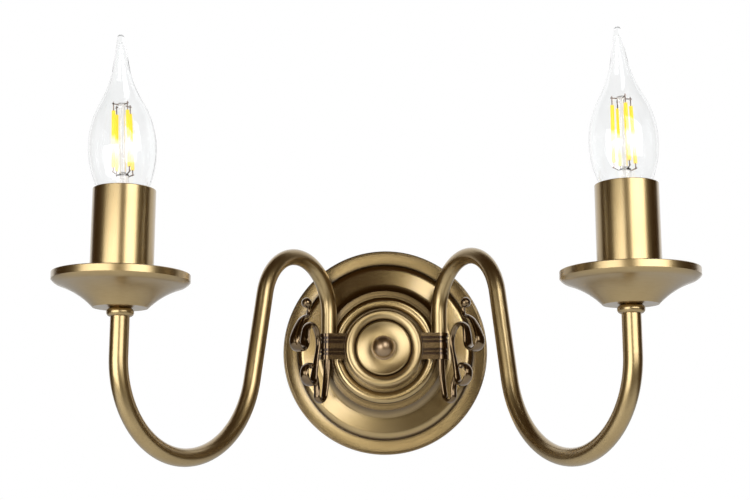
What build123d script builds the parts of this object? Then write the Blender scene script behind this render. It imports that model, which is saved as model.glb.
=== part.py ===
from build123d import *
from math import cos, radians, sin, sqrt
import os

os.makedirs("parts", exist_ok=True)

# A two-armed candle wall light. Millimetres, +Z up. The origin is the centre of the
# wall plate on the wall's plane; the front faces -Y, so a "depth" is measured from the
# wall along -Y. "left" and "right" are a viewer's, at -X and +X.

# ---------------------------------------------------------------- driving dimensions
# fits
thread_gap = 0.05       # radial gap of a screw or a tube in its hole
turn_gap = 0.08         # radial gap of a piece that turns on another
seat_gap = 0.3          # gap between curved faces of pieces that move apart
loose_gap = 0.15        # radial gap of a plain clearance hole

# wall plate, spun from sheet, hollow behind
plate_radius = 65.0
plate_wall = 1.2
plate_edge_depth = 2.4      # height of the straight outer edge
edge_bead = 0.8             # rounding of that edge
band_depth = 3.0            # depth of the outer band at its inner side
band_sag = 0.1              # how far the band's middle lies below that
band_groove_radius = 55.8   # turned groove between band and shoulder
shoulder_radius = 51.5      # where the rounded shoulder ends
shoulder_depth = 6.6
shoulder_heading = (-0.35, 1)   # way the rounded shoulder starts from the band
slope_rise = 1.9            # rise of the gentle slope between shoulder and cove
cove_radius = 7.9           # hollow curve that climbs to the middle
cove_turn = 42.0            # degrees of that curve
cove_foot_radius = 42.4     # where the curve starts
cove_end_gap = 1.0          # end of the cove's slope outside the stepped ring
floor_depth = 11.6          # front of the plate's flat middle
line_depth = 0.4            # depth of the turned lines
line_width = 0.7

# stepped ring on the plate's middle
ring_radius = 33.7
ring_crest_radius = 30.2
ring_height = 2.4
ring_edge_bulge = 0.9       # how far the bead's outer side leans in
ring_round = 1.0            # height of the crest above that side
ring_fall = 1.0             # fall from the crest to the inner step
ring_step_radius = 26.6
ring_land = 0.8             # thickness of the land that carries the cup
ring_bore_radius = 21.5

# centre cup that covers the joint of the arms
cup_radius = 24.0
cup_wall = 1.2
cup_depth = 29.4            # depth of its front rim
cup_rim_round = 2.0
cup_band_drop = 1.5         # how far the rim's band falls towards the groove
cup_groove_radius = 17.4
cup_groove_drop = 2.4       # how far the groove lies behind the rim
groove_half = 0.5           # slope of each side of the groove
dish_radius = 16.4
dish_drop = 1.1             # how far the inner disc's edge lies behind the rim
dish_edge_rise = 0.6        # height of the disc's rounded edge
dish_edge_width = 0.9
dish_sag = 0.3              # how far the disc is hollow
window_gap = 0.8            # room on each side of a clasp in the cup's window
dish_land_radius = 7.9      # flat that the knob stands on
dish_land_drop = 2.7

# ball knob, stud and nuts
knob_radius = 7.0
knob_collar_radius = 7.5
knob_collar_height = 1.0
knob_centre_drop = 6.6      # ball centre in front of the knob's foot
knob_touch = 0.75           # share of the ball's radius where it meets the collar
stud_radius = 2.5
stud_grip = 6.2             # length of thread inside the knob
stud_chamfer = 0.5
nut_chamfer = 0.2           # how far a nut's corners are turned down
small_nut_flats = 8.0
small_nut_height = 4.0

# hub that the two arms screw into
hub_radius = 18.0
hub_flat = 16.5             # distance of its two side flats from the middle
hub_wall = 2.5
hub_floor = 2.0
hub_front_gap = 0.4         # hub's front edge to the back of the cup's groove

# mounting strap on the wall
strap_length = 104.0
strap_width = 18.0
strap_thickness = 1.5
strap_corner = 3.0
slot_spacing = 76.0
slot_width = 4.5
slot_length = 12.0

# terminal block, its screws, and the earth screw
block_width = 22.0
block_height = 14.0
block_corner = 1.0
block_gap = 0.5             # block's front to the plate's back
block_drop = 20.5           # block centre below the middle
insert_length = 12.0
insert_radius = 2.4
insert_bore = 1.5
terminal_screw_radius = 1.3
terminal_screw_head = 1.4
terminal_screw_offset = 3.4
block_screw_radius = 1.5
block_screw_head_radius = 2.7
block_screw_head = 1.8
block_screw_sink = 0.6      # how deep that head lies in the block
block_screw_slot = 0.7
wall_clear = 0.2            # screw ends stay this far off the wall
earth_rise = 20.0
earth_screw_radius = 2.0
earth_head_radius = 3.5
earth_head = 2.4
earth_slot = 1.0            # width and depth of its slot
earth_washer_radius = 4.5
earth_washer = 0.8

# arms: tubes bent in one upright plane each
arm_angle = 58.0            # angle between an arm's plane and the wall
root_x = 34.6               # tube's foot, from the middle
root_depth = 20.0           # tube's foot, from the wall
tube_radius = 4.9
tube_wall = 1.0
tube_foot = 4.4             # height of the tube's lower end
arch_spring = 21.7          # height where the arch starts
arch_radius = 31.8
arm_turn = 168.7            # degrees of the arch, and of the bowl back again
leg_length = 52.5
bowl_fall_radius = 55.1     # bowl from the leg to its lowest point
bowl_rise_radius = 50.1     # bowl from there to the upright end
tube_top = 17.1             # height of the tube's upper end

# clasps that hold the tubes' feet
clasp_radius = 5.9
clasp_bottom = -6.9
clasp_height = 16.3
clasp_floor = 2.5
clasp_end_thickness = 9.8
clasp_end_width = 1.0       # straight stretch where the clasp meets the hub
clasp_line_depth = 0.9
clasp_line_width = 1.2
clasp_rib_centre = 1.6
clasp_rib_half = 2.5        # the two inner lines, from the rib's centre
clasp_rib_outer = 4.9       # the two outer lines, from the rib's centre
tail_radius = 3.5
tail_bore = 2.6
tail_length = 5.5
tail_nut_flats = 11.0
tail_nut_height = 2.5
nut_turn = 30.0             # degrees that set a nut's flat upright

# cast scrolls beside the tubes
scroll_turn = {"left": 5.5, "right": -5.5}      # degrees off the arm's plane, from the wall
strip_thickness = 2.6
# Widths of the strips: share of the line's length, width.
hook_widths = ((0, 4.8), (1, 4.2))
curve_widths = ((0, 2.6), (0.15, 6.0), (0.35, 3.4), (0.55, 5.6), (0.82, 6.2), (1, 2.2))
scroll_ball_radius = 3.2
curl_ball_radius = 1.9
ball_sink = 0.1             # share of the large ball's radius that the strip enters
curl_sink = 0.5             # the same of the small ball
hook_start = 2.0            # where the hook leaves the clasp's foot
# Points that the strips' arcs pass: outwards from the tube's axis, and height.
hook_line = ((4.6, -28.6), (9.4, -33.0), (13.6, -29.0), (16.2, -17.8))
curl_start = (21.8, -11.6)
curl_slope = 16.0           # degrees of the strip's rise at the small ball
curl_line = ((28.0, -16.8), (23.6, -22.8), (17.6, -19.8), (12.9, -1.8))
crown_line = ((13.6, 8.4), (20.4, 13.6), (26.4, 9.8), (27.6, 2.8))
loop_line = ((33.4, -3.2), (38.9, 4.4), (33.4, 13.7), (27.0, 17.4), (24.4, 23.8))

# leads inside the arms
lead_radius = 1.8
lead_bend = 4.5             # height of the lead's first bend, and about its radius
lead_x = 6.8                # where a lead passes the plate
lead_depth = 5.6            # its depth behind the plate
lead_hole_radius = 2.5

# drip pans, collars and nuts
pan_radius = 35.0
pan_wall = 1.0
pan_rise = 1.3              # thickness of the flare, measured upright
pan_bottom = 6.7           # height of the pan's flat underside
pan_foot_radius = 14.0
pan_flare_radius = 31.5     # where the hollow flare turns into the rounded edge
pan_flare_rise = 11.1
pan_edge_rise = 13.6        # height of the lip's lower edge above the underside
pan_lip_height = 3.8
pan_lip_wall = 1.4
pan_inner_rise = 14.4       # height of the bowl's outer edge above the underside
pan_lip_round = 0.4
pan_seat = 0.2              # how far the flare's inside starts before the foot's edge
pan_bow = 1.5               # how far the flare's curve stands above a straight line
collar_radius = 7.0
collar_height = 4.4
collar_neck = 0.7           # how far the collar's foot stands off the tube
collar_shoulder = 0.7       # how far its shoulder lies inside its widest line
collar_top_in = 1.5
collar_belly = 0.5          # share of its height where the bead is widest
collar_lip = 0.85           # share of its height where the bead turns in to the pan
pan_nut_flats = 14.0
pan_nut_height = 3.0

# candle sleeves and lampholders
sleeve_radius = 16.15
sleeve_wall = 0.9
sleeve_top = 68.1
base_flange_height = 4.0
base_spigot_height = 6.5
base_spigot_wall = 1.5
holder_radius = 13.4
holder_wall = 1.4
holder_top = 54.6
holder_floor = 29.6
holder_floor_thickness = 2.5
shell_outer_radius = 8.3
shell_wall = 0.6
shell_height = 20.0
tongue_width = 5.0
tongue_thickness = 0.6
tongue_reach = 6.5
tongue_rise = 1.8
tongue_bend = 2.5           # where the tongue starts to climb
tongue_bridge = 1.2         # where it is level again

# lamps: slim flame-tip filament lamps
lamp_gap = 0.3              # lamp's contact above the holder's tongue
contact_radius = 2.4
contact_height = 1.2
insulator_radius = 5.2
insulator_height = 2.2
insulator_step = 0.4        # insulator's small end beyond the contact
cap_radius = 6.95
cap_root_radius = 6.5
cap_pitch = 2.82
cap_turns = 6
cap_wall = 0.45
collar_gap = 0.3            # lamp's cap collar above the holder
cap_collar_radius = 8.6
cap_collar_height = 2.4
glass_wall = 0.7
neck_radius = 7.9           # bore of the cap's collar
glass_neck_radius = 7.4
glass_seat = 0.95           # glass's foot above the collar's foot
neck_straight = 3.2         # height where the neck starts to widen
waist_radius = 12.9         # glass where it leaves the sleeve
belly_radius = 17.6         # largest radius of the glass
belly_rise = 22.0           # height of the belly above the sleeve
shoulder_rise = 46.6
shoulder_glass_radius = 11.2
throat_rise = 63.6
throat_radius = 4.8
tip_rise = 82.6
tip_radius = 1.8
tip_solid = 4.0             # length of solid glass at the tip
glass_lean = {"left": 3.0, "right": 1.0}    # degrees that each lamp leans towards -X
stem_radius = 1.6
stem_press_radius = 3.0
stem_press_gap = 3.4        # top of the pressed part to the filaments' feet
stem_taper = 1.2
stem_skirt = 1.0            # straight foot of the stem
stem_flare_height = 8.0
filament_radius = 0.95
filament_length = 30.0
filament_foot = 11.4        # foot of the filaments above the sleeve's top
filament_circle = 5.9       # radius of their circle at the foot
filament_draw = 0.8         # how much nearer the axis they are at the top
filament_count = 4
filament_start = {"left": 47.0, "right": 14.0}      # degrees
stem_button_radius = 2.2
stem_button_foot = 0.8
stem_button_top = 0.6
wire_radius = 0.3
wire_over = 0.7             # how far the wires run past where they cross
wire_drop = 1.6             # drop of a lower wire to the stem
upper_stub = 4.2            # wire between a filament's top and its cross wire
lower_stub = 2.4            # the same at a filament's foot

# ---------------------------------------------------------------- derived places
sides = {"left": -1, "right": 1}
plate_section = Plane(origin=(0, 0, 0), x_dir=(1, 0, 0), z_dir=(0, 0, -1))


def wall_plane(depth):
    """A plane parallel to the wall at a depth, looking out into the room."""
    return Plane(origin=(0, -depth, 0), x_dir=(1, 0, 0), z_dir=(0, -1, 0))


def arm_plane(side, turned=0):
    """The upright plane of one arm: x runs outwards from the tube's foot, y is up."""
    turn = radians(arm_angle + turned)
    outward = (side * cos(turn), -sin(turn), 0)
    normal = (-sin(turn), -side * cos(turn), 0)
    return Plane(origin=(side * root_x, -root_depth, 0), x_dir=outward, z_dir=normal)


def arm_line(side, foot, top):
    """One arm's centre line from a foot height to a top height."""
    with BuildLine() as line:
        root = Line((0, foot), (0, arch_spring))
        arch = JernArc(root @ 1, root % 1, arch_radius, -arm_turn)
        leg = Line(arch @ 1, arch @ 1 + (arch % 1) * leg_length)
        fall = JernArc(leg @ 1, leg % 1, bowl_fall_radius, arm_turn - 90)
        rise = JernArc(fall @ 1, fall % 1, bowl_rise_radius, 90)
        Line(rise @ 1, ((rise @ 1).X, top))
    return arm_plane(side).from_local_coords(line.wire())


# An arm's reach follows from its bends.
turned = radians(arm_turn)
arch_reach = arch_radius * (1 - cos(turned)) + leg_length * sin(turned)
arm_reach = arch_reach - bowl_fall_radius * cos(turned) + bowl_rise_radius
pan_x = root_x + arm_reach * cos(radians(arm_angle))
pan_depth = root_depth + arm_reach * sin(radians(arm_angle))


def lamp_section(side):
    """Upright section through one candle's axis: x is the radius, y the height."""
    return Plane(origin=(side * pan_x, -pan_depth, 0), x_dir=(1, 0, 0), z_dir=(0, -1, 0))


def lamp_level(side, height):
    """A level plane on one candle's axis."""
    return Plane(origin=(side * pan_x, -pan_depth, height))


def lamp_axis(side):
    """The upright axis of one candle."""
    return Axis((side * pan_x, -pan_depth, 0), (0, 0, 1))


def save(piece, label):
    """Name a finished piece and write it."""
    piece.part.label = label
    export_step(piece.part, f"parts/{label}.step")


plate_back = floor_depth - plate_wall
ring_land_depth = floor_depth + ring_land
cup_groove_depth = cup_depth - cup_groove_drop
dish_land_depth = cup_depth - dish_land_drop
knob_foot = dish_land_depth + turn_gap
knob_centre = knob_foot + knob_centre_drop
stud_tip = knob_foot + stud_grip
hub_front = cup_groove_depth - cup_wall - hub_front_gap
hub_inner_flat = hub_flat - hub_wall
block_front = plate_back - block_gap
sleeve_bore = sleeve_radius - sleeve_wall
tube_bore = tube_radius - tube_wall
tube_hole = tube_radius + thread_gap
pan_floor = pan_bottom + pan_wall
pan_lip_top = pan_bottom + pan_edge_rise + pan_lip_height
pan_middle = (pan_foot_radius + pan_flare_radius) / 2
pan_middle_rise = pan_flare_rise / 2 + pan_bow
base_bottom = pan_floor + pan_nut_height
base_flange_top = base_bottom + base_flange_height
lamp_foot = holder_floor + tongue_rise + lamp_gap
tongue_level = holder_floor + tongue_rise - tongue_thickness
collar_foot = holder_top + collar_gap
collar_top = collar_foot + cap_collar_height
# arc of the pan's inner face, from the lip in to the flat foot
pan_bowl = (
    (pan_radius - pan_lip_wall, pan_bottom + pan_inner_rise),
    (pan_middle, pan_bottom + pan_middle_rise + pan_rise),
    (pan_foot_radius - pan_seat, pan_floor),
)


def pan_inside(radius):
    """Height of the pan's inner face at a radius."""
    bowl = Edge.make_three_point_arc(*pan_bowl)
    away = radius - bowl.arc_center.X
    return bowl.arc_center.Y + sqrt(bowl.radius**2 - away**2)


# ---------------------------------------------------------------- wall plate and centre
def wall_plate():
    """Spun plate with a flat band, a rounded shoulder and a hollow climb to the middle."""
    band_outer = plate_radius - edge_bead
    with BuildPart() as plate:
        with BuildSketch(plate_section):
            with BuildLine():
                Line((plate_radius, 0), (plate_radius, plate_edge_depth))
                edge = RadiusArc(
                    (plate_radius, plate_edge_depth),
                    (band_outer, plate_edge_depth + edge_bead),
                    -edge_bead,
                )
                band = ThreePointArc(
                    edge @ 1,
                    ((band_outer + band_groove_radius) / 2, band_depth - band_sag),
                    (band_groove_radius, band_depth),
                )
                shoulder = TangentArc(
                    band @ 1, (shoulder_radius, shoulder_depth), tangent=shoulder_heading
                )
                slope = Line(shoulder @ 1, (cove_foot_radius, shoulder_depth + slope_rise))
                cove = JernArc(slope @ 1, slope % 1, cove_radius, -cove_turn)
                rise = Line(cove @ 1, (ring_radius + cove_end_gap, floor_depth))
                Line(rise @ 1, (stud_radius + loose_gap, floor_depth))
                offset(amount=plate_wall, side=Side.LEFT)
            make_face()
        revolve(axis=Axis.Y)
        with BuildSketch(plate_section):
            for radius, depth in (
                (band_groove_radius, band_depth),
                (band_outer - line_width, plate_edge_depth + edge_bead),
            ):
                with Locations((radius, depth + line_width / 2 - line_depth)):
                    Circle(line_width / 2)
        revolve(axis=Axis.Y, mode=Mode.SUBTRACT)
        with BuildSketch(wall_plane(floor_depth)):
            with Locations((lead_x, 0), (-lead_x, 0)):
                Circle(lead_hole_radius)
        extrude(amount=-2 * plate_wall, mode=Mode.SUBTRACT)
    save(plate, "wall_plate")


def stepped_ring():
    """Turned ring on the plate: a bead, a step in and a land for the cup."""
    crest = floor_depth + ring_height
    with BuildPart() as ring:
        with BuildSketch(plate_section):
            with BuildLine():
                Line((ring_bore_radius, floor_depth), (ring_radius, floor_depth))
                bead = ThreePointArc(
                    (ring_radius, floor_depth),
                    (ring_radius - ring_edge_bulge, crest - ring_round),
                    (ring_crest_radius, crest),
                )
                slope = TangentArc(
                    bead @ 1, (ring_step_radius, crest - ring_fall), tangent=(-1, 0)
                )
                step = Line(slope @ 1, (ring_step_radius, ring_land_depth))
                land = Line(step @ 1, (ring_bore_radius, ring_land_depth))
                Line(land @ 1, (ring_bore_radius, floor_depth))
            make_face()
        revolve(axis=Axis.Y)
    save(ring, "stepped_ring")


def centre_cup():
    """Cup over the hub: rounded rim and band, groove and a dished inner disc."""
    rim_in = cup_radius - cup_rim_round
    dish_edge_depth = cup_depth - dish_drop
    hole = stud_radius + loose_gap
    with BuildPart() as cup:
        with BuildSketch(plate_section):
            with BuildLine():
                skirt = Line(
                    (cup_radius, ring_land_depth), (cup_radius, cup_depth - cup_rim_round)
                )
                rim = RadiusArc(skirt @ 1, (rim_in, cup_depth), -cup_rim_round)
                band = TangentArc(
                    rim @ 1,
                    (cup_groove_radius + groove_half, cup_depth - cup_band_drop),
                    tangent=(-1, 0),
                )
                groove = Line(band @ 1, (cup_groove_radius, cup_groove_depth))
                wall = Line(
                    groove @ 1, (dish_radius + groove_half, dish_edge_depth - dish_edge_rise)
                )
                edge = TangentArc(
                    wall @ 1,
                    (dish_radius + groove_half - dish_edge_width, dish_edge_depth),
                    tangent=wall % 1,
                )
                dish = ThreePointArc(
                    edge @ 1,
                    (
                        (dish_radius + dish_land_radius) / 2,
                        (dish_edge_depth + dish_land_depth) / 2 - dish_sag,
                    ),
                    (dish_land_radius, dish_land_depth),
                )
                land = Line(dish @ 1, (hole, dish_land_depth))
                back = Line(land @ 1, (hole, dish_land_depth - cup_wall))
                floor = Line(back @ 1, (dish_land_radius, dish_land_depth - cup_wall))
                bottom = Line(floor @ 1, (dish_radius - dish_edge_width, dish_edge_depth - cup_wall))
                ridge = Line(bottom @ 1, (cup_groove_radius, cup_groove_depth - cup_wall))
                under = Line(ridge @ 1, (rim_in, cup_depth - cup_wall))
                corner = RadiusArc(
                    under @ 1,
                    (cup_radius - cup_wall, cup_depth - cup_rim_round),
                    cup_rim_round - cup_wall,
                )
                inside = Line(corner @ 1, (cup_radius - cup_wall, ring_land_depth))
                Line(inside @ 1, (cup_radius, ring_land_depth))
            make_face()
        revolve(axis=Axis.Y)
        # side windows for the clasps
        with BuildSketch(Plane.YZ):
            with Locations((-root_depth, clasp_bottom + clasp_height / 2)):
                Rectangle(clasp_end_thickness + 2 * window_gap, clasp_height + 2 * loose_gap)
        extrude(amount=2 * cup_radius, both=True, mode=Mode.SUBTRACT)
    save(cup, "centre_cup")


def ball_knob():
    """Ball with a thin foot, tapped for the stud."""
    touch_radius = knob_radius * knob_touch
    touch_depth = knob_centre - sqrt(knob_radius**2 - touch_radius**2)
    hole = stud_radius + turn_gap
    with BuildPart() as knob:
        with BuildSketch(plate_section):
            with BuildLine():
                foot = Line((hole, knob_foot), (knob_collar_radius, knob_foot))
                side = Line(foot @ 1, (knob_collar_radius, knob_foot + knob_collar_height))
                neck = Line(side @ 1, (touch_radius, touch_depth))
                ball = ThreePointArc(
                    neck @ 1, (knob_radius, knob_centre), (0, knob_centre + knob_radius)
                )
                top = Line(ball @ 1, (0, stud_tip + seat_gap))
                end = Line(top @ 1, (hole, stud_tip + seat_gap))
                Line(end @ 1, (hole, knob_foot))
            make_face()
        revolve(axis=Axis.Y)
    save(knob, "ball_knob")


def centre_stud():
    """Threaded stud from the strap through the plate, hub and cup into the knob."""
    with BuildPart() as stud:
        with BuildSketch(wall_plane(0)):
            Circle(stud_radius)
        extrude(amount=stud_tip)
        chamfer(stud.edges().sort_by(Axis.Y)[0], length=stud_chamfer)
    save(stud, "centre_stud")


def hex_nut(label, base, height, flats, bore, turn=0.0):
    """Hexagon nut on a plane, its corners turned down."""
    with BuildPart() as nut:
        with BuildSketch(base):
            RegularPolygon(flats / 2, 6, major_radius=False, rotation=turn)
            Circle(bore, mode=Mode.SUBTRACT)
        extrude(amount=height)
        with BuildSketch(base):
            Circle(flats / sqrt(3) - nut_chamfer)
        extrude(amount=height, mode=Mode.INTERSECT)
    save(nut, label)


def hub_drum():
    """Open drum behind the cup; the arms' tails pass its two flat sides."""
    with BuildPart() as hub:
        with BuildSketch(wall_plane(floor_depth)):
            Circle(hub_radius)
            Rectangle(2 * hub_flat, 4 * hub_radius, mode=Mode.INTERSECT)
        extrude(amount=hub_front - floor_depth)
        with BuildSketch(wall_plane(floor_depth + hub_floor)):
            Circle(hub_radius - hub_wall)
            Rectangle(2 * hub_inner_flat, 4 * hub_radius, mode=Mode.INTERSECT)
        extrude(amount=hub_front, mode=Mode.SUBTRACT)
        with BuildSketch(wall_plane(floor_depth)):
            Circle(stud_radius + loose_gap)
            with Locations((lead_x, 0), (-lead_x, 0)):
                Circle(lead_hole_radius)
        extrude(amount=hub_floor, mode=Mode.SUBTRACT)
        with BuildSketch(Plane.YZ):
            with Locations((-root_depth, 0)):
                Circle(tail_radius + thread_gap)
        extrude(amount=2 * hub_radius, both=True, mode=Mode.SUBTRACT)
    save(hub, "hub_drum")


def mounting_strap():
    """Steel strap that is screwed to the wall through its two slots."""
    with BuildPart() as strap:
        with BuildSketch(wall_plane(0)):
            RectangleRounded(strap_width, strap_length, strap_corner)
            Circle(stud_radius + thread_gap, mode=Mode.SUBTRACT)
            with Locations((0, slot_spacing / 2), (0, -slot_spacing / 2)):
                SlotOverall(slot_length, slot_width, rotation=90, mode=Mode.SUBTRACT)
            with Locations((0, -block_drop)):
                Circle(block_screw_radius + thread_gap, mode=Mode.SUBTRACT)
            with Locations((0, earth_rise)):
                Circle(earth_screw_radius + thread_gap, mode=Mode.SUBTRACT)
        extrude(amount=strap_thickness)
    save(strap, "mounting_strap")


def terminal_block():
    """Two-pole block on the strap, with its inserts and screws."""
    depth = block_front - strap_thickness
    with BuildPart() as block:
        with BuildSketch(wall_plane(strap_thickness)):
            with Locations((0, -block_drop)):
                RectangleRounded(block_width, block_height, block_corner)
        extrude(amount=depth)
        with BuildSketch(Plane.XY.offset(-block_drop)):
            with Locations((lead_x, -lead_depth), (-lead_x, -lead_depth)):
                Circle(insert_radius + thread_gap)
        extrude(amount=block_height, both=True, mode=Mode.SUBTRACT)
        with BuildSketch(wall_plane(block_front)):
            with Locations((0, -block_drop)):
                with GridLocations(2 * lead_x, 2 * terminal_screw_offset, 2, 2):
                    Circle(terminal_screw_radius + loose_gap)
        extrude(amount=-(block_front - lead_depth), mode=Mode.SUBTRACT)
        with Locations(wall_plane(block_front)):
            with Locations((0, -block_drop)):
                CounterBoreHole(
                    block_screw_radius + loose_gap,
                    block_screw_head_radius + loose_gap,
                    block_screw_head + block_screw_sink,
                    depth=depth,
                )
    save(block, "terminal_block")

    with BuildPart() as inserts:
        with BuildSketch(Plane.XY.offset(-block_drop - insert_length / 2)):
            with Locations((lead_x, -lead_depth), (-lead_x, -lead_depth)):
                Circle(insert_radius)
                Circle(insert_bore, mode=Mode.SUBTRACT)
        extrude(amount=insert_length)
    save(inserts, "terminal_inserts")

    with BuildPart() as screws:
        with BuildSketch(wall_plane(lead_depth + insert_radius)):
            with Locations((0, -block_drop)):
                with GridLocations(2 * lead_x, 2 * terminal_screw_offset, 2, 2):
                    Circle(terminal_screw_radius)
        extrude(amount=terminal_screw_head)
    save(screws, "terminal_screws")

    head_top = block_front - block_screw_sink
    with BuildPart() as screw:
        with BuildSketch(wall_plane(wall_clear)):
            with Locations((0, -block_drop)):
                Circle(block_screw_radius)
        extrude(amount=head_top - wall_clear)
        with BuildSketch(wall_plane(head_top - block_screw_head)):
            with Locations((0, -block_drop)):
                Circle(block_screw_head_radius)
                Rectangle(
                    2 * block_screw_head_radius, block_screw_slot, mode=Mode.SUBTRACT
                )
        extrude(amount=block_screw_head)
    save(screw, "block_screw")


def earth_terminal():
    """Earth screw and its washer on the strap."""
    with BuildPart() as washer:
        with BuildSketch(wall_plane(strap_thickness)):
            with Locations((0, earth_rise)):
                Circle(earth_washer_radius)
                Circle(earth_screw_radius + loose_gap, mode=Mode.SUBTRACT)
        extrude(amount=earth_washer)
    save(washer, "earth_washer")

    seat = strap_thickness + earth_washer
    with BuildPart() as screw:
        with BuildSketch(wall_plane(wall_clear)):
            with Locations((0, earth_rise)):
                Circle(earth_screw_radius)
        extrude(amount=seat - wall_clear)
        with BuildSketch(wall_plane(seat)):
            with Locations((0, earth_rise)):
                Circle(earth_head_radius)
        extrude(amount=earth_head)
        with BuildSketch(wall_plane(seat + earth_head)):
            with Locations((0, earth_rise)):
                Rectangle(3 * earth_head_radius, earth_slot)
        extrude(amount=-earth_slot, mode=Mode.SUBTRACT)
    save(screw, "earth_screw")


# ---------------------------------------------------------------- arms
def arm_tube(name, side):
    """Hollow tube: straight foot, arch, sloping leg, bowl and upright end."""
    path = arm_line(side, tube_foot, tube_top)
    with BuildPart() as tube:
        with BuildSketch(Plane(origin=path @ 0, z_dir=path % 0)):
            Circle(tube_radius)
            Circle(tube_bore, mode=Mode.SUBTRACT)
        sweep(path=path)
    save(tube, f"arm_tube_{name}")


def clasp_outline(side, inset):
    """A clasp seen from above: round about the tube, drawn in to the hub's flat side."""
    with BuildSketch(mode=Mode.PRIVATE) as outline:
        with Locations((side * root_x, -root_depth)):
            Circle(clasp_radius - inset)
        with Locations((side * (hub_flat + clasp_end_width / 2), -root_depth)):
            Rectangle(clasp_end_width, clasp_end_thickness - 2 * inset)
        make_hull()
    return outline.sketch


def arm_clasp(name, side):
    """Cast clasp round the tube's foot, drawn in towards the hub, with a hollow tail."""
    foot = (side * root_x, -root_depth)
    with BuildPart() as clasp:
        with BuildSketch(Plane.XY.offset(clasp_bottom)):
            add(clasp_outline(side, 0))
        extrude(amount=clasp_height)
        for reach in (-clasp_rib_outer, -clasp_rib_half, clasp_rib_half, clasp_rib_outer):
            level = clasp_rib_centre + reach - clasp_line_width / 2
            with BuildSketch(Plane.XY.offset(level)):
                with Locations(foot):
                    Rectangle(4 * root_x, 4 * clasp_radius)
                add(clasp_outline(side, clasp_line_depth), mode=Mode.SUBTRACT)
            extrude(amount=clasp_line_width, mode=Mode.SUBTRACT)
        with BuildSketch(Plane.YZ.offset(side * hub_flat)):
            with Locations((-root_depth, 0)):
                Circle(tail_radius)
        extrude(amount=-side * tail_length)
        with BuildSketch(Plane.XY.offset(clasp_bottom + clasp_floor)):
            with Locations(foot):
                Circle(tube_hole)
        extrude(amount=clasp_height, mode=Mode.SUBTRACT)
        with BuildSketch(Plane.YZ.offset(side * root_x)):
            with Locations((-root_depth, 0)):
                Circle(tail_bore)
        extrude(amount=-side * root_x, mode=Mode.SUBTRACT)
    save(clasp, f"arm_clasp_{name}")
    tail_plane = Plane(
        origin=(side * hub_inner_flat, -root_depth, 0), x_dir=(0, 1, 0), z_dir=(-side, 0, 0)
    )
    hex_nut(
        f"tail_nut_{name}", tail_plane, tail_nut_height, tail_nut_flats,
        tail_radius + thread_gap, turn=nut_turn,
    )


def arc_line(plane, start, heading, points):
    """Smooth line of arcs through points of a plane."""
    with BuildLine() as line:
        for point in points:
            arc = TangentArc(start, point, tangent=heading)
            start = arc @ 1
            heading = arc % 1
    return plane.from_local_coords(line.wire())


def oval_strip(plane, path, widths):
    """Strip of oval section along a line of a plane, its changing width across the plane."""
    with BuildPart() as strip:
        for share, width in widths:
            with BuildSketch(Plane(origin=path @ share, x_dir=plane.z_dir, z_dir=path % share)):
                Ellipse(width / 2, strip_thickness / 2)
        sweep(path=path, multisection=True)
    return strip.part


def scroll(name, side):
    """Cast scroll: a hooked strip under the clasp joins an S that ends in two balls.

    The left one stands a little further off the wall than the right one."""
    slope = radians(curl_slope)
    plane = arm_plane(side, scroll_turn[name])
    hook = arc_line(plane, (hook_start, clasp_bottom), (0, -1), hook_line)
    curve = arc_line(
        plane, curl_start, (cos(slope), sin(slope)), curl_line + crown_line + loop_line
    )
    hook_strip = oval_strip(plane, hook, hook_widths)
    curve_strip = oval_strip(plane, curve, curve_widths)
    with BuildPart() as piece:
        add(hook_strip)
        add(curve_strip)
        for end, inward, radius, sink in (
            (curve @ 0, curve % 0, curl_ball_radius, curl_sink),
            (curve @ 1, -(curve % 1), scroll_ball_radius, ball_sink),
        ):
            centre = end - inward * (radius * (1 - sink))
            with Locations(Plane(origin=centre, x_dir=plane.z_dir, z_dir=inward)):
                Sphere(radius)
    save(piece, f"scroll_{name}")


def arm_lead(name, side):
    """Round lead from the lampholder down the arm, through the hub to the block."""
    block_top = block_height / 2 - block_drop
    upper = arm_line(side, lead_bend, holder_floor - holder_floor_thickness)
    with BuildLine() as lower:
        FilletPolyline(
            (side * root_x, -root_depth, lead_bend),
            (side * root_x, -root_depth, 0),
            (side * lead_x, -root_depth, 0),
            (side * lead_x, -lead_depth, 0),
            (side * lead_x, -lead_depth, block_top),
            radius=lead_bend - thread_gap,
        )
    path = Wire(upper.edges() + lower.wire().edges())
    with BuildPart() as lead:
        with BuildSketch(Plane(origin=path @ 0, z_dir=path % 0)):
            Circle(lead_radius)
        sweep(path=path)
    save(lead, f"arm_lead_{name}")
    print(f"arm_lead_{name} length {path.length:.1f}")


# ---------------------------------------------------------------- candle end of an arm
def collar(name, side):
    """Turned bead between the tube and the pan."""
    foot = pan_bottom - collar_height
    with BuildPart() as bead:
        with BuildSketch(lamp_section(side)):
            with BuildLine():
                Line((tube_hole, foot), (tube_radius + collar_neck, foot))
                bulge = ThreePointArc(
                    (tube_radius + collar_neck, foot),
                    (collar_radius, foot + collar_height * collar_belly),
                    (collar_radius - collar_shoulder, foot + collar_height * collar_lip),
                )
                top = Line(bulge @ 1, (collar_radius - collar_top_in, pan_bottom))
                back = Line(top @ 1, (tube_hole, pan_bottom))
                Line(back @ 1, (tube_hole, foot))
            make_face()
        revolve(axis=lamp_axis(side))
    save(bead, f"collar_{name}")


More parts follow.
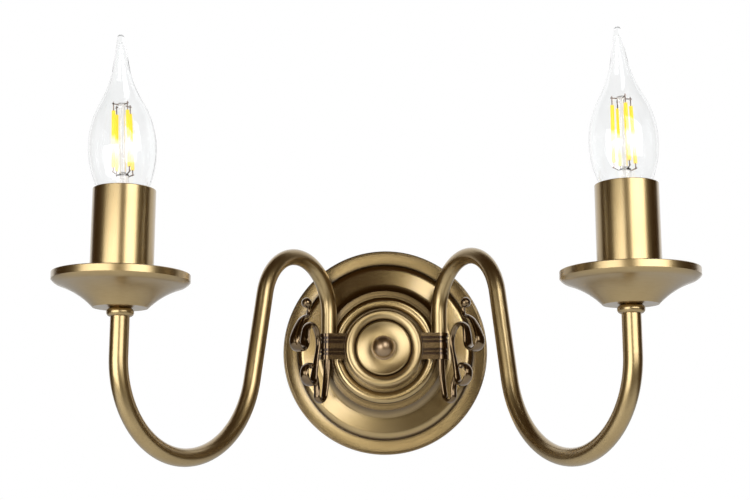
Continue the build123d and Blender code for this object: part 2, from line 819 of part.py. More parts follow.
def drip_pan(name, side):
    """Spun pan: flat foot, hollow flare, rounded edge and an upright lip."""
    lip_in = pan_radius - pan_lip_wall
    with BuildPart() as pan:
        with BuildSketch(lamp_section(side)):
            with BuildLine():
                foot = Line((tube_hole, pan_bottom), (pan_foot_radius, pan_bottom))
                flare = ThreePointArc(
                    foot @ 1,
                    (pan_middle, pan_bottom + pan_middle_rise),
                    (pan_flare_radius, pan_bottom + pan_flare_rise),
                )
                edge = TangentArc(
                    flare @ 1, (pan_radius, pan_bottom + pan_edge_rise), tangent=flare % 1
                )
                lip = Line(edge @ 1, (pan_radius, pan_lip_top - pan_lip_round))
                rim = RadiusArc(
                    lip @ 1, (pan_radius - pan_lip_round, pan_lip_top), -pan_lip_round
                )
                top = Line(rim @ 1, (lip_in, pan_lip_top))
                Line(top @ 1, pan_bowl[0])
                bowl = ThreePointArc(*pan_bowl)
                back = Line(bowl @ 1, (tube_hole, pan_floor))
                Line(back @ 1, (tube_hole, pan_bottom))
            make_face()
        revolve(axis=lamp_axis(side))
    save(pan, f"drip_pan_{name}")
    hex_nut(
        f"pan_nut_{name}", lamp_level(side, pan_floor), pan_nut_height, pan_nut_flats,
        tube_hole,
    )


def candle_sleeve(name, side):
    """Brass tube that hides the holder; it stands in the pan and lifts off."""
    foot = pan_inside(sleeve_radius) + seat_gap
    with BuildPart() as sleeve:
        with BuildSketch(lamp_level(side, foot)):
            Circle(sleeve_radius)
            Circle(sleeve_bore, mode=Mode.SUBTRACT)
        extrude(amount=sleeve_top - foot)
        rim = sleeve.faces().sort_by(Axis.Z)[-1]
        fillet(rim.edges(), radius=sleeve_wall * 0.4)
    save(sleeve, f"candle_sleeve_{name}")


def lampholder(name, side):
    """Holder for a small screw cap: base, body, threaded shell and contact tongue."""
    flange = sleeve_bore - turn_gap
    cavity = holder_radius - holder_wall
    with BuildPart() as base:
        with BuildSketch(lamp_level(side, base_bottom)):
            Circle(flange)
        extrude(amount=base_flange_height)
        with BuildSketch(lamp_level(side, base_flange_top)):
            Circle(cavity - thread_gap)
            Circle(cavity - base_spigot_wall, mode=Mode.SUBTRACT)
        extrude(amount=base_spigot_height)
        with BuildSketch(lamp_level(side, base_bottom)):
            Circle(tube_hole)
        extrude(amount=base_flange_height, mode=Mode.SUBTRACT)
    save(base, f"holder_base_{name}")

    with BuildPart() as body:
        with BuildSketch(lamp_level(side, base_flange_top)):
            Circle(holder_radius)
        extrude(amount=holder_top - base_flange_top)
        with BuildSketch(lamp_level(side, base_flange_top)):
            Circle(cavity)
        extrude(
            amount=holder_floor - holder_floor_thickness - base_flange_top,
            mode=Mode.SUBTRACT,
        )
        with BuildSketch(lamp_level(side, holder_floor)):
            Circle(shell_outer_radius + thread_gap)
        extrude(amount=holder_top - holder_floor, mode=Mode.SUBTRACT)
    save(body, f"holder_body_{name}")

    with BuildPart() as shell:
        with BuildSketch(lamp_level(side, holder_floor + tongue_rise + tongue_thickness)):
            Circle(shell_outer_radius)
            Circle(shell_outer_radius - shell_wall, mode=Mode.SUBTRACT)
        extrude(amount=shell_height)
    save(shell, f"holder_shell_{name}")

    with BuildPart() as tongue:
        with BuildSketch(lamp_section(side)):
            with BuildLine():
                foot = Line((-tongue_reach, holder_floor), (-tongue_bend, holder_floor))
                ramp = Line(foot @ 1, (-tongue_bridge, tongue_level))
                Line(ramp @ 1, (tongue_bend, tongue_level))
                offset(amount=tongue_thickness, side=Side.LEFT)
            make_face()
        extrude(amount=tongue_width / 2, both=True)
    save(tongue, f"contact_tongue_{name}")


# ---------------------------------------------------------------- lamps
def lamp_frame(name, side):
    """Section plane of a lamp's glass: it leans on its cap by a small angle."""
    lean = radians(glass_lean[name])
    upright = (-sin(lean), 0, cos(lean))
    across = (cos(lean), 0, sin(lean))
    origin = (side * pan_x, -pan_depth, collar_foot)
    frame = Plane(origin=origin, x_dir=across, z_dir=(0, -1, 0))
    return frame, Axis(origin, upright)


def lamp_height(height):
    """A height of the row as a height above the lamp's neck."""
    return height - collar_foot


def lamp_cap(name, side):
    """Screw cap with rounded turns, a collar for the glass, and its contact."""
    thread_foot = lamp_foot + contact_height + insulator_height
    thread_top = thread_foot + cap_pitch * cap_turns
    with BuildPart() as cap:
        with BuildSketch(lamp_section(side)):
            with BuildLine():
                turn_start = (cap_root_radius, thread_foot)
                for turn in range(cap_turns):
                    middle = thread_foot + cap_pitch * (turn + 0.5)
                    ridge = ThreePointArc(
                        turn_start,
                        (cap_radius, middle),
                        (cap_root_radius, middle + cap_pitch / 2),
                    )
                    turn_start = ridge @ 1
                skirt = Line(ridge @ 1, (cap_root_radius, collar_foot))
                shelf = Line(skirt @ 1, (cap_collar_radius, collar_foot))
                rim = Line(shelf @ 1, (cap_collar_radius, collar_top))
                lip = Line(rim @ 1, (neck_radius + thread_gap, collar_top))
                seat = Line(lip @ 1, (neck_radius + thread_gap, collar_foot + cap_wall))
                step = Line(seat @ 1, (cap_root_radius - cap_wall, collar_foot + cap_wall))
                bore = Line(step @ 1, (cap_root_radius - cap_wall, thread_foot))
                Line(bore @ 1, (cap_root_radius, thread_foot))
            make_face()
        revolve(axis=lamp_axis(side))
    save(cap, f"lamp_cap_{name}")
    print(f"lamp_cap_{name} thread {thread_foot:.1f} to {thread_top:.1f}")

    with BuildPart() as contact:
        with BuildSketch(lamp_level(side, lamp_foot)):
            Circle(contact_radius)
        extrude(amount=contact_height)
        with BuildSketch(lamp_level(side, lamp_foot + contact_height)):
            Circle(contact_radius + insulator_step)
        with BuildSketch(lamp_level(side, thread_foot)):
            Circle(insulator_radius)
        loft()
    save(contact, f"lamp_contact_{name}")


def lamp_glass(name, side):
    """Thin blown envelope: neck, belly, drawn throat and a sealed tip."""
    frame, axis = lamp_frame(name, side)

    def rise(height):
        return lamp_height(sleeve_top + height)

    def form(inset, tip_drop):
        """Half outline from the open foot to the tip, drawn in by the glass's wall."""
        neck_side = glass_neck_radius - inset
        with BuildLine() as outline:
            belly = TangentArc(
                (belly_radius - inset, rise(belly_rise)),
                (waist_radius - inset, rise(0)),
                tangent=(0, -1),
            )
            flare = TangentArc(belly @ 1, (neck_side, neck_straight), tangent=belly % 1)
            neck = Line(flare @ 1, (neck_side, glass_seat))
            foot = Line(neck @ 1, (0, glass_seat))
            shoulder = TangentArc(
                belly @ 0,
                (shoulder_glass_radius - inset, rise(shoulder_rise)),
                tangent=(0, 1),
            )
            throat = TangentArc(
                shoulder @ 1, (throat_radius - inset, rise(throat_rise)),
                tangent=shoulder % 1,
            )
            tip_height = rise(tip_rise) - tip_drop
            Line(throat @ 1, (tip_radius - inset, tip_height))
            CenterArc((0, tip_height), tip_radius - inset, 0, 90)
            Line((0, tip_height + tip_radius - inset), foot @ 1)
        return outline.edges()

    with BuildPart() as glass:
        with BuildSketch(frame):
            make_face(form(0, 0))
        revolve(axis=axis)
        with BuildSketch(frame):
            make_face(form(glass_wall, tip_solid))
        revolve(axis=axis, mode=Mode.SUBTRACT)
    save(glass, f"lamp_glass_{name}")


def lamp_inside(name, side):
    """Glass stem, light filaments and their wires."""
    frame, axis = lamp_frame(name, side)
    foot = lamp_height(sleeve_top + filament_foot)
    top = foot + filament_length
    press = foot - stem_press_gap
    skirt = glass_seat + stem_skirt
    button = top + upper_stub
    bore = glass_neck_radius - glass_wall
    with BuildPart() as stem:
        with BuildSketch(frame):
            with BuildLine():
                Polyline(
                    (0, glass_seat),
                    (bore - thread_gap, glass_seat),
                    (bore - thread_gap, skirt),
                    (stem_press_radius + stem_taper, skirt + stem_flare_height / 2),
                    (stem_press_radius, skirt + stem_flare_height),
                    (stem_press_radius, press),
                    (stem_radius, press + stem_taper),
                    (stem_radius, button - stem_button_foot),
                    (stem_button_radius, button - stem_button_foot),
                    (stem_button_radius, button + stem_button_top),
                    (0, button + stem_button_top),
                    close=True,
                )
            make_face()
        revolve(axis=axis)
    save(stem, f"lamp_stem_{name}")

    turned_frame = Plane(origin=frame.origin, x_dir=frame.x_dir, z_dir=axis.direction)
    step = 360 / filament_count
    spots = []
    for number in range(filament_count):
        angle = radians(filament_start[name] + number * step)
        reach = Vector(cos(angle), sin(angle), 0)
        spots.append(reach)

    def place(reach, radius, height):
        return turned_frame.from_local_coords(reach * radius + Vector(0, 0, height))

    upper_circle = filament_circle - filament_draw
    with BuildPart() as sticks:
        for reach in spots:
            start = place(reach, filament_circle, foot)
            end = place(reach, upper_circle, top)
            with BuildSketch(Plane(origin=start, z_dir=end - start)):
                Circle(filament_radius)
            extrude(amount=(end - start).length)
    save(sticks, f"filaments_{name}")

    cross_top = button - wire_radius
    cross_foot = foot - lower_stub
    with BuildPart() as wires:
        for reach in spots:
            for start, end in (
                (place(reach, upper_circle, top), place(reach, upper_circle, button + wire_over)),
                (place(reach, stem_button_radius + thread_gap, cross_top),
                 place(reach, upper_circle + wire_over, cross_top)),
                (place(reach, filament_circle, cross_foot - wire_over),
                 place(reach, filament_circle, foot)),
                (place(reach, stem_press_radius + thread_gap, cross_foot - wire_drop),
                 place(reach, filament_circle + wire_over, cross_foot)),
            ):
                with BuildSketch(Plane(origin=start, z_dir=end - start)):
                    Circle(wire_radius)
                extrude(amount=(end - start).length)
    save(wires, f"lamp_wires_{name}")


# ---------------------------------------------------------------- build everything
wall_plate()
stepped_ring()
centre_cup()
ball_knob()
centre_stud()
hub_drum()
mounting_strap()
terminal_block()
earth_terminal()
hex_nut(
    "strap_nut", wall_plane(strap_thickness), small_nut_height, small_nut_flats,
    stud_radius + thread_gap, turn=nut_turn,
)
hex_nut(
    "hub_nut", wall_plane(floor_depth + hub_floor), small_nut_height, small_nut_flats,
    stud_radius + thread_gap, turn=nut_turn,
)
for side_name, side_sign in sides.items():
    arm_tube(side_name, side_sign)
    arm_clasp(side_name, side_sign)
    scroll(side_name, side_sign)
    arm_lead(side_name, side_sign)
    collar(side_name, side_sign)
    drip_pan(side_name, side_sign)
    candle_sleeve(side_name, side_sign)
    lampholder(side_name, side_sign)
    lamp_cap(side_name, side_sign)
    lamp_glass(side_name, side_sign)
    lamp_inside(side_name, side_sign)
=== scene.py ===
import math

import bpy
from mathutils import Matrix, Vector


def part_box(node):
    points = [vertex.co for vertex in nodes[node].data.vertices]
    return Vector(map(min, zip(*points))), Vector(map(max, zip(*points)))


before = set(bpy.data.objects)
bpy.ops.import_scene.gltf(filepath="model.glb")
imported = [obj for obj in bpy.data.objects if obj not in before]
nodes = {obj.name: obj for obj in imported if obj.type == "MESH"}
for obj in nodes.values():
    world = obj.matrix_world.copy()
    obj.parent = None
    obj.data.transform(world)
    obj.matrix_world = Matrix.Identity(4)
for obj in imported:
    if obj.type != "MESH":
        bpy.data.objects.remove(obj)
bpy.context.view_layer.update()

MM = 0.001
SIDES = ("left", "right")

# ---------------------------------------------------------------- places, from the frame


def middle(node):
    """Centre of a node's box."""
    low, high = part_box(node)
    return (low + high) / 2


CANDLE = {side: middle(f"drip_pan_{side}") for side in SIDES}
PLATE_CENTRE = Vector((0, 0, 0))

# ---------------------------------------------------------------- camera

CAMERA_PLACE = Vector((26.4, -777.2, -74.5)) * MM
CAMERA_PITCH = math.radians(10.263)     # up
CAMERA_YAW = math.radians(2.415)        # towards -X
CAMERA_ROLL = math.radians(-0.05)
FOCAL_PIXELS = 1216.4                   # for an image 750 pixels wide
IMAGE_WIDTH = 750
SENSOR = 36.0


def make_camera():
    data = bpy.data.cameras.new("camera")
    data.sensor_width = SENSOR
    data.lens = FOCAL_PIXELS / IMAGE_WIDTH * SENSOR
    data.clip_start = 0.01
    data.clip_end = 50
    camera = bpy.data.objects.new("camera", data)
    bpy.context.scene.collection.objects.link(camera)
    ahead = Vector((
        -math.sin(CAMERA_YAW) * math.cos(CAMERA_PITCH),
        math.cos(CAMERA_YAW) * math.cos(CAMERA_PITCH),
        math.sin(CAMERA_PITCH),
    ))
    right = Vector((math.cos(CAMERA_YAW), math.sin(CAMERA_YAW), 0))
    up = right.cross(ahead)
    turned_right = right * math.cos(CAMERA_ROLL) + up * math.sin(CAMERA_ROLL)
    turned_up = up * math.cos(CAMERA_ROLL) - right * math.sin(CAMERA_ROLL)
    turn = Matrix((turned_right, turned_up, -ahead)).transposed().to_4x4()
    camera.matrix_world = Matrix.Translation(CAMERA_PLACE) @ turn
    bpy.context.scene.camera = camera


# ---------------------------------------------------------------- node helpers


class Shader:
    """A material's node tree, with short names for what the materials use."""

    def __init__(self, name):
        self.material = bpy.data.materials.new(name)
        self.material.use_nodes = True
        self.tree = self.material.node_tree
        self.surface = self.tree.nodes["Principled BSDF"]
        self.place = self.add("ShaderNodeTexCoord").outputs["Object"]

    def add(self, kind, **settings):
        node = self.tree.nodes.new(kind)
        for key, value in settings.items():
            setattr(node, key, value)
        return node

    def feed(self, value, socket):
        """Puts a number, a colour or another node's output into a socket."""
        if isinstance(value, bpy.types.NodeSocket):
            self.tree.links.new(value, socket)
        else:
            socket.default_value = value

    def math(self, operation, first, second=0.0, clamp=False):
        node = self.add("ShaderNodeMath", operation=operation, use_clamp=clamp)
        self.feed(first, node.inputs[0])
        self.feed(second, node.inputs[1])
        return node.outputs[0]

    def parts(self, vector):
        node = self.add("ShaderNodeSeparateXYZ")
        self.feed(vector, node.inputs[0])
        return node.outputs[0], node.outputs[1], node.outputs[2]

    def vector(self, x, y, z):
        node = self.add("ShaderNodeCombineXYZ")
        for value, socket in zip((x, y, z), node.inputs):
            self.feed(value, socket)
        return node.outputs[0]

    def noise(self, vector, scale, detail=3.0, rough=0.5):
        node = self.add("ShaderNodeTexNoise")
        self.feed(vector, node.inputs["Vector"])
        self.feed(scale, node.inputs["Scale"])
        self.feed(detail, node.inputs["Detail"])
        self.feed(rough, node.inputs["Roughness"])
        return node.outputs["Fac"]

    def ramp(self, factor, stops):
        """Colour ramp through (place, colour) stops."""
        node = self.add("ShaderNodeValToRGB")
        elements = node.color_ramp.elements
        while len(elements) > 1:
            elements.remove(elements[-1])
        elements[0].position = stops[0][0]
        elements[0].color = (*stops[0][1], 1)
        for place, colour in stops[1:]:
            elements.new(place).color = (*colour, 1)
        self.feed(factor, node.inputs[0])
        return node.outputs[0]

    def mix(self, factor, first, second):
        node = self.add("ShaderNodeMix", data_type="RGBA")
        self.feed(factor, node.inputs["Factor"])
        for value, socket in ((first, node.inputs[6]), (second, node.inputs[7])):
            if isinstance(value, tuple):
                value = (*value, 1)
            self.feed(value, socket)
        return node.outputs[2]

    def shift(self, factor, low, high):
        """Turns a share of 0 to 1 into a value from low to high."""
        node = self.add("ShaderNodeMath", operation="MULTIPLY_ADD")
        self.feed(factor, node.inputs[0])
        node.inputs[1].default_value = high - low
        node.inputs[2].default_value = low
        return node.outputs[0]

    def bump(self, height, strength, distance):
        node = self.add("ShaderNodeBump")
        node.inputs["Strength"].default_value = strength
        node.inputs["Distance"].default_value = distance
        self.feed(height, node.inputs["Height"])
        self.tree.links.new(node.outputs[0], self.surface.inputs["Normal"])

    def set(self, **values):
        names = {
            "colour": "Base Color", "metal": "Metallic", "rough": "Roughness",
            "coat": "Coat Weight", "coat_rough": "Coat Roughness", "ior": "IOR",
            "clear": "Transmission Weight", "glow": "Emission Strength",
            "glow_colour": "Emission Color", "specular": "Specular IOR Level",
            "anisotropic": "Anisotropic",
        }
        for key, value in values.items():
            if isinstance(value, tuple) and len(value) == 3:
                value = (*value, 1)
            self.feed(value, self.surface.inputs[names[key]])
        return self.material


# ---------------------------------------------------------------- brass

# Colours of the brass sheet and tubes, of the castings and of the knob.
BRASS_DARK = (0.330, 0.226, 0.090)
BRASS_BODY = (0.370, 0.260, 0.110)
BRASS_LIGHT = (0.410, 0.296, 0.134)
# Dark colour that grooves and hollows are mixed towards: patina, and painted shade where the
# hollows lie in shade.
PATINA_AND_PAINTED_SHADE = (0.050, 0.026, 0.010)
CAST_DARK = (0.085, 0.048, 0.018)
CAST_BODY = (0.150, 0.092, 0.036)
CAST_LIGHT = (0.230, 0.150, 0.064)
KNOB_COLOURS = ((0.230, 0.150, 0.074), (0.290, 0.190, 0.098), (0.340, 0.226, 0.118))

CAST_GRAIN = 900.0          # grains per metre where a piece has no streaks
PATCH_GRAIN = 42.0          # patches of patina per metre
PATCH_SHARE = 0.55          # how much of the colour's play comes from the patches
BRASS_BUMP = 0.007
GRAIN_DEPTH = 0.0003        # depth of the surface grain, in metres


def turned_coordinates(shader, centre, upright):
    """(distance from the axis, angle, height along it) of a turned piece, in metres."""
    moved = shader.add("ShaderNodeVectorMath", operation="SUBTRACT")
    shader.feed(shader.place, moved.inputs[0])
    moved.inputs[1].default_value = centre
    x, y, z = shader.parts(moved.outputs[0])
    across, along = (y, z) if upright else (z, y)
    square = shader.math("ADD", shader.math("MULTIPLY", x, x),
                         shader.math("MULTIPLY", across, across))
    radius = shader.math("SQRT", square)
    angle = shader.math("ARCTAN2", across, x)
    return radius, angle, along


def brass(name, streaks, colours, rough=(0.17, 0.23), tone=None, brushed=0.0,
          coat_rough=0.14):
    """Lacquered brass: fine streaks from brushing, soft patches of patina, and a tone
    that darkens places, such as grooves, by a factor of 0 to 1: patina and painted shade."""
    shader = Shader(name)
    vector = streaks(shader) if streaks else shader.place
    fine = shader.noise(vector, 1.0 if streaks else CAST_GRAIN, 4.0, 0.62)
    patches = shader.noise(shader.place, PATCH_GRAIN, 3.0, 0.55)
    spread = shader.math("MULTIPLY", patches, PATCH_SHARE)
    mixed = shader.math("ADD", spread, shader.math("MULTIPLY", fine, 1 - PATCH_SHARE))
    colour = shader.ramp(mixed, ((0.30, colours[0]), (0.50, colours[1]), (0.74, colours[2])))
    if tone is not None:
        # Darkens towards the dark colour where the tone says: patina and painted shade.
        colour = shader.mix(tone(shader), colour, PATINA_AND_PAINTED_SHADE)
    shader.set(colour=colour, metal=1.0, rough=shader.shift(fine, *rough))
    shader.set(coat=0.9, coat_rough=coat_rough)
    if brushed:
        tangent = shader.add("ShaderNodeTangent", direction_type="RADIAL", axis="Y")
        shader.set(anisotropic=brushed)
        shader.feed(tangent.outputs[0], shader.surface.inputs["Tangent"])
    shader.bump(fine, BRASS_BUMP, GRAIN_DEPTH)
    return shader.material


def around(centre, upright, ring_scale, turn_scale):
    """Streaks that run round an axis, as a lathe leaves them."""
    def streaks(shader):
        radius, angle, along = turned_coordinates(shader, centre, upright)
        return shader.vector(
            shader.math("MULTIPLY", radius, ring_scale),
            shader.math("MULTIPLY", angle, turn_scale),
            shader.math("MULTIPLY", along, ring_scale),
        )
    return streaks


def lengthwise(centre, turn_scale, long_scale):
    """Streaks that run along an upright sleeve."""
    def streaks(shader):
        radius, angle, along = turned_coordinates(shader, centre, True)
        return shader.vector(
            shader.math("MULTIPLY", radius, turn_scale),
            shader.math("MULTIPLY", angle, turn_scale * 0.016),
            shader.math("MULTIPLY", along, long_scale),
        )
    return streaks


# Dark rings on the plate, the ring and the cup: patina and painted shade in the grooves; the
# wide rings at
# 66 and 38 mm on the plate and at 26.6 mm on the ring are painted shade of the rim's bead, the
# cove and the gap beside the cup. Radius and half width in millimetres, and strength.
PLATE_RINGS = (
    (64.1, 0.50, 0.85), (66.0, 5.5, 0.75), (55.8, 1.9, 0.95), (38.0, 6.5, 0.75),
    (34.6, 2.2, 0.8),
)
RING_RINGS = ((33.6, 0.9, 0.8), (26.6, 2.6, 0.9), (24.2, 0.7, 0.8))
CUP_RINGS = ((24.6, 0.5, 0.6), (17.4, 0.9, 0.95))


def ring_patina_and_painted_shade(rings):
    """Dark rings round the plate's axis, each soft at both sides: patina and painted shade."""
    def tone(shader):
        radius, angle, along = turned_coordinates(shader, PLATE_CENTRE, False)
        total = 0.0
        for ring_radius, half, strength in rings:
            away = shader.math("ABSOLUTE", shader.math("SUBTRACT", radius, ring_radius * MM))
            near = shader.math("SUBTRACT", 1.0, shader.math("DIVIDE", away, half * MM))
            part = shader.math("MULTIPLY", shader.math("MAXIMUM", near, 0.0), strength)
            total = part if total == 0.0 else shader.math("MAXIMUM", total, part)
        return total
    return tone


# Heights of the clasps' dark lines over the clasp's foot and half their width, both in
# millimetres; then how far they run out, in half widths, and how steeply. The lines are
# patina and painted shade in the turned grooves.
CLASP_LINES = (3.6, 6.0, 11.0, 13.4)
CLASP_LINE_HALF = 0.8
CLASP_LINE_REACH = 1.45
CLASP_LINE_STEEP = 1.6


def clasp_patina_and_painted_shade(side):
    """Dark patina and painted shade in the turned lines of a clasp."""
    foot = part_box(f"arm_clasp_{side}")[0].z

    def tone(shader):
        x, y, z = shader.parts(shader.place)
        total = 0.0
        for level in CLASP_LINES:
            away = shader.math("ABSOLUTE", shader.math("SUBTRACT", z, foot + level * MM))
            share = shader.math("DIVIDE", away, CLASP_LINE_HALF * MM)
            near = shader.math("SUBTRACT", CLASP_LINE_REACH, share)
            part = shader.math("MULTIPLY", near, CLASP_LINE_STEEP, clamp=True)
            total = part if total == 0.0 else shader.math("MAXIMUM", total, part)
        return total
    return tone


def dress(material, *names):
    """Gives CAD nodes their material."""
    for name in names:
        mesh = nodes[name].data
        mesh.materials.clear()
        mesh.materials.append(material)


def brass_materials():
    colours = (BRASS_DARK, BRASS_BODY, BRASS_LIGHT)
    cast = (CAST_DARK, CAST_BODY, CAST_LIGHT)
    turned = around(PLATE_CENTRE, False, 2600.0, 5.0)
    dress(brass("brass_plate", turned, colours, (0.25, 0.28), ring_patina_and_painted_shade(PLATE_RINGS), 0.4),
          "wall_plate")
    dress(brass("brass_ring", turned, colours, (0.25, 0.28), ring_patina_and_painted_shade(RING_RINGS), 0.4),
          "stepped_ring")
    dress(brass("brass_cup", turned, colours, (0.31, 0.35), ring_patina_and_painted_shade(CUP_RINGS), 0.5, 0.24),
          "centre_cup")
    dress(brass("brass_knob", turned, KNOB_COLOURS, (0.34, 0.42), coat_rough=0.25), "ball_knob")
    dress(brass("brass_plain", None, (BRASS_BODY, BRASS_LIGHT, BRASS_LIGHT)),
          "hub_drum", "earth_washer", "earth_screw", "terminal_inserts")
    for side in SIDES:
        centre = CANDLE[side]
        dress(brass(f"brass_pan_{side}", around(centre, True, 2400.0, 4.0), colours,
                    (0.28, 0.32), coat_rough=0.24),
              f"drip_pan_{side}", f"collar_{side}")
        dress(brass(f"brass_sleeve_{side}", lengthwise(centre, 2600.0, 30.0), colours,
                    (0.25, 0.31), coat_rough=0.22),
              f"candle_sleeve_{side}")
        dress(brass(f"brass_tube_{side}", None, colours, (0.29, 0.33), coat_rough=0.22),
              f"arm_tube_{side}")
        dress(brass(f"brass_scroll_{side}", None, cast, (0.16, 0.24)), f"scroll_{side}")
        dress(brass(f"brass_clasp_{side}", None, cast, (0.18, 0.26), clasp_patina_and_painted_shade(side)),
              f"arm_clasp_{side}")
        dress(brass(f"brass_nuts_{side}", None, (BRASS_BODY, BRASS_LIGHT, BRASS_LIGHT)),
              f"tail_nut_{side}", f"pan_nut_{side}", f"holder_shell_{side}",
              f"contact_tongue_{side}")


# ---------------------------------------------------------------- the other materials


PLAIN_GRAIN = 700.0         # grains per metre
PLAIN_BUMP = 0.08


def plain(name, low, high, rough, metal=0.0):
    """A surface with fine grain between two colours."""
    shader = Shader(name)
    grain = shader.noise(shader.place, PLAIN_GRAIN, 4.0, 0.6)
    shader.set(colour=shader.ramp(grain, ((0.3, low), (0.7, high))), metal=metal,
               rough=shader.shift(grain, rough - 0.06, rough + 0.08))
    shader.bump(grain, PLAIN_BUMP, GRAIN_DEPTH)
    return shader.material


GLASS_IOR = 1.45


def lamp_materials(side):
    """Clear glass, the glass stem, the filaments, their wires and the plated cap."""
    glass = Shader(f"lamp_glass_{side}")
    flow = glass.noise(glass.place, 60.0, 2.0, 0.5)
    tints = ((0.2, (0.965, 0.975, 0.975)), (0.8, (0.99, 0.99, 0.99)))
    glass.set(colour=glass.ramp(flow, tints), rough=0.0, ior=GLASS_IOR, clear=1.0, specular=0.25)
    glass.bump(flow, 0.02, 0.0004)
    dress(glass.material, f"lamp_glass_{side}")

    stem = Shader(f"lamp_stem_{side}")
    flow = stem.noise(stem.place, 240.0, 2.0, 0.5)
    tints = ((0.2, (0.90, 0.85, 0.80)), (0.8, (0.97, 0.95, 0.93)))
    stem.set(colour=stem.ramp(flow, tints), rough=0.02, ior=GLASS_IOR, clear=1.0)
    dress(stem.material, f"lamp_stem_{side}")

    dress(filament_material(side), f"filaments_{side}")
    dress(plain(f"lamp_wire_{side}", (0.10, 0.07, 0.06), (0.32, 0.24, 0.20), 0.4, 0.9),
          f"lamp_wires_{side}")
    dress(plain(f"lamp_cap_{side}", (0.50, 0.48, 0.44), (0.66, 0.64, 0.60), 0.28, 1.0),
          f"lamp_cap_{side}", f"lamp_contact_{side}")


def filament_material(side):
    """Phosphor strip: deep yellow above, glaring in the middle, paler below."""
    shader = Shader(f"filament_{side}")
    x, y, z = shader.parts(shader.place)
    low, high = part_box(f"filaments_{side}")
    share = shader.math("DIVIDE", shader.math("SUBTRACT", z, low.z), high.z - low.z)
    grain = shader.noise(shader.place, 1500.0, 3.0, 0.6)
    ragged = shader.math("ADD", share, shader.math("MULTIPLY", grain, 0.06))
    colour = shader.ramp(ragged, (
        (0.03, (0.98, 0.74, 0.16)), (0.20, (1.0, 0.80, 0.28)), (0.36, (1.0, 0.95, 0.72)),
        (0.50, (1.0, 0.97, 0.80)), (0.60, (1.0, 0.76, 0.008)), (0.98, (1.0, 0.70, 0.0)),
    ))
    shader.set(colour=(0.25, 0.16, 0.01), rough=0.5, glow_colour=colour, glow=1.0)
    return shader.material


def other_materials():
    zinc = plain("zinc_steel", (0.42, 0.42, 0.41), (0.60, 0.60, 0.58), 0.34, 1.0)
    dress(zinc, "centre_stud", "mounting_strap", "strap_nut", "hub_nut", "terminal_screws",
          "block_screw")
    dress(plain("block_plastic", (0.74, 0.73, 0.70), (0.84, 0.83, 0.80), 0.5),
          "terminal_block")
    for side in SIDES:
        dress(plain(f"holder_plastic_{side}", (0.012, 0.012, 0.012), (0.03, 0.03, 0.03), 0.45),
              f"holder_base_{side}", f"holder_body_{side}")
        dress(plain(f"lead_sheath_{side}", (0.60, 0.59, 0.55), (0.74, 0.73, 0.69), 0.35),
              f"arm_lead_{side}")
        lamp_materials(side)


# ---------------------------------------------------------------- floor, light, background

FLOOR_LEVEL = -0.50
FLOOR_SIZE = 12.0
ROOM_LEVEL = 0.45           # light of the room on what isn't metal or glass
FLAG_TINT = (0.060, 0.030, 0.008)       # dark boards beside and over the piece
FLAG_SIDE = 1.20            # their places, in metres
FLAG_FRONT = -1.1
FLAG_BACK = 0.55
FLAG_FOOT = -0.49
FLAG_HEAD = 2.0
FLAG_ROOF = 1.6


def make_floor():
    mesh = bpy.data.meshes.new("floor")
    half = FLOOR_SIZE / 2
    corners = [(-half, -half, FLOOR_LEVEL), (half, -half, FLOOR_LEVEL),
               (half, half, FLOOR_LEVEL), (-half, half, FLOOR_LEVEL)]
    mesh.from_pydata(corners, [], [(0, 1, 2, 3)])
    floor = bpy.data.objects.new("floor", mesh)
    bpy.context.scene.collection.objects.link(floor)
    material = bpy.data.materials.new("floor")
    material.use_nodes = True
    surface = material.node_tree.nodes["Principled BSDF"]
    surface.inputs["Base Color"].default_value = (0.96, 0.96, 0.96, 1)
    surface.inputs["Roughness"].default_value = 0.9
    surface.inputs["Specular IOR Level"].default_value = 0.0
    mesh.materials.append(material)


def make_world():
    """White to the camera and in metal and glass, and a paler room for all else."""
    world = bpy.data.worlds.new("studio")
    bpy.context.scene.world = world
    world.use_nodes = True
    tree = world.node_tree
    tree.nodes.clear()
    path = tree.nodes.new("ShaderNodeLightPath")
    room = tree.nodes.new("ShaderNodeBackground")
    room.inputs["Color"].default_value = (1, 1, 1, 1)
    room.inputs["Strength"].default_value = ROOM_LEVEL
    white = tree.nodes.new("ShaderNodeBackground")
    white.inputs["Color"].default_value = (1, 1, 1, 1)
    white.inputs["Strength"].default_value = 1.0
    seen = path.outputs["Is Camera Ray"]
    for ray in ("Is Glossy Ray", "Is Transmission Ray"):
        either = tree.nodes.new("ShaderNodeMath")
        either.operation = "MAXIMUM"
        tree.links.new(seen, either.inputs[0])
        tree.links.new(path.outputs[ray], either.inputs[1])
        seen = either.outputs[0]
    mixed = tree.nodes.new("ShaderNodeMixShader")
    tree.links.new(seen, mixed.inputs[0])
    tree.links.new(room.outputs[0], mixed.inputs[1])
    tree.links.new(white.outputs[0], mixed.inputs[2])
    output = tree.nodes.new("ShaderNodeOutputWorld")
    tree.links.new(mixed.outputs[0], output.inputs[0])


def softbox(name, place, aim, width, height, power, colour):
    """Soft lamp that faces a point."""
    data = bpy.data.lights.new(name, "AREA")
    data.shape = "RECTANGLE"
    data.size = width
    data.size_y = height
    data.energy = power
    data.color = colour
    lamp = bpy.data.objects.new(name, data)
    bpy.context.scene.collection.objects.link(lamp)
    lamp.location = place
    lamp.rotation_mode = "QUATERNION"
    lamp.rotation_quaternion = (Vector(place) - Vector(aim)).to_track_quat("Z", "Y")
    lamp.visible_camera = False


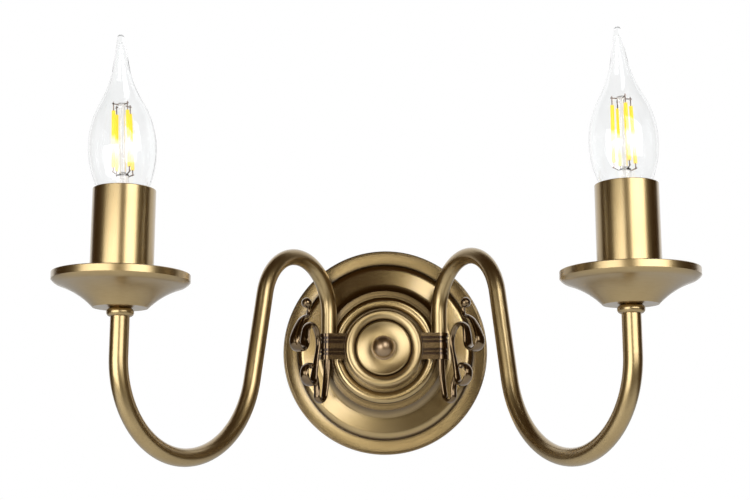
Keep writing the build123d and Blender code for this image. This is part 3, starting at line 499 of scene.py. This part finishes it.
def flag(name, corners):
    """Dark board that only metal shows, as studio flags beside the piece."""
    mesh = bpy.data.meshes.new(name)
    mesh.from_pydata(corners, [], [(0, 1, 2, 3)])
    board = bpy.data.objects.new(name, mesh)
    bpy.context.scene.collection.objects.link(board)
    material = bpy.data.materials.new(name)
    material.use_nodes = True
    surface = material.node_tree.nodes["Principled BSDF"]
    surface.inputs["Base Color"].default_value = (0, 0, 0, 1)
    surface.inputs["Specular IOR Level"].default_value = 0.0
    surface.inputs["Emission Color"].default_value = (*FLAG_TINT, 1)
    surface.inputs["Emission Strength"].default_value = 1.0
    mesh.materials.append(material)
    board.visible_camera = False
    board.visible_diffuse = False
    board.visible_transmission = False
    board.visible_shadow = False


COOL = (0.95, 0.98, 1.0)
BOX_LEVEL = 4.8             # brightness of the soft boxes
BOX_FRONT = -0.88
# The soft boxes: name, place across, height, width and height of the face, in metres.
BOXES = (("left", -0.65, -0.05, 1.04, 0.56), ("right", 0.65, 0.295, 1.00, 0.65))


def upright_board(start, end):
    """Corners of a flag that stands between two points of the floor plan."""
    return [(*start, FLAG_FOOT), (*end, FLAG_FOOT), (*end, FLAG_HEAD), (*start, FLAG_HEAD)]


def make_lights():
    """Two soft boxes beside the camera, the right one higher, and dark boards about."""
    for side, x, level, width, height in BOXES:
        softbox(f"key_{side}", (x, BOX_FRONT, level), (x, 0, level), width, height,
                BOX_LEVEL * math.pi * width * height, COOL)
    for side, x in (("left", -FLAG_SIDE), ("right", FLAG_SIDE)):
        flag(f"flag_{side}", upright_board((x, FLAG_FRONT), (x, FLAG_BACK)))
    flag("flag_front", upright_board((-FLAG_SIDE, FLAG_FRONT), (FLAG_SIDE, FLAG_FRONT)))
    flag("flag_top", [
        (-FLAG_SIDE, FLAG_FRONT, FLAG_ROOF), (FLAG_SIDE, FLAG_FRONT, FLAG_ROOF),
        (FLAG_SIDE, FLAG_BACK, FLAG_ROOF), (-FLAG_SIDE, FLAG_BACK, FLAG_ROOF),
    ])


make_camera()
brass_materials()
other_materials()
make_floor()
make_world()
make_lights()

bpy.context.scene.view_settings.view_transform = "Standard"
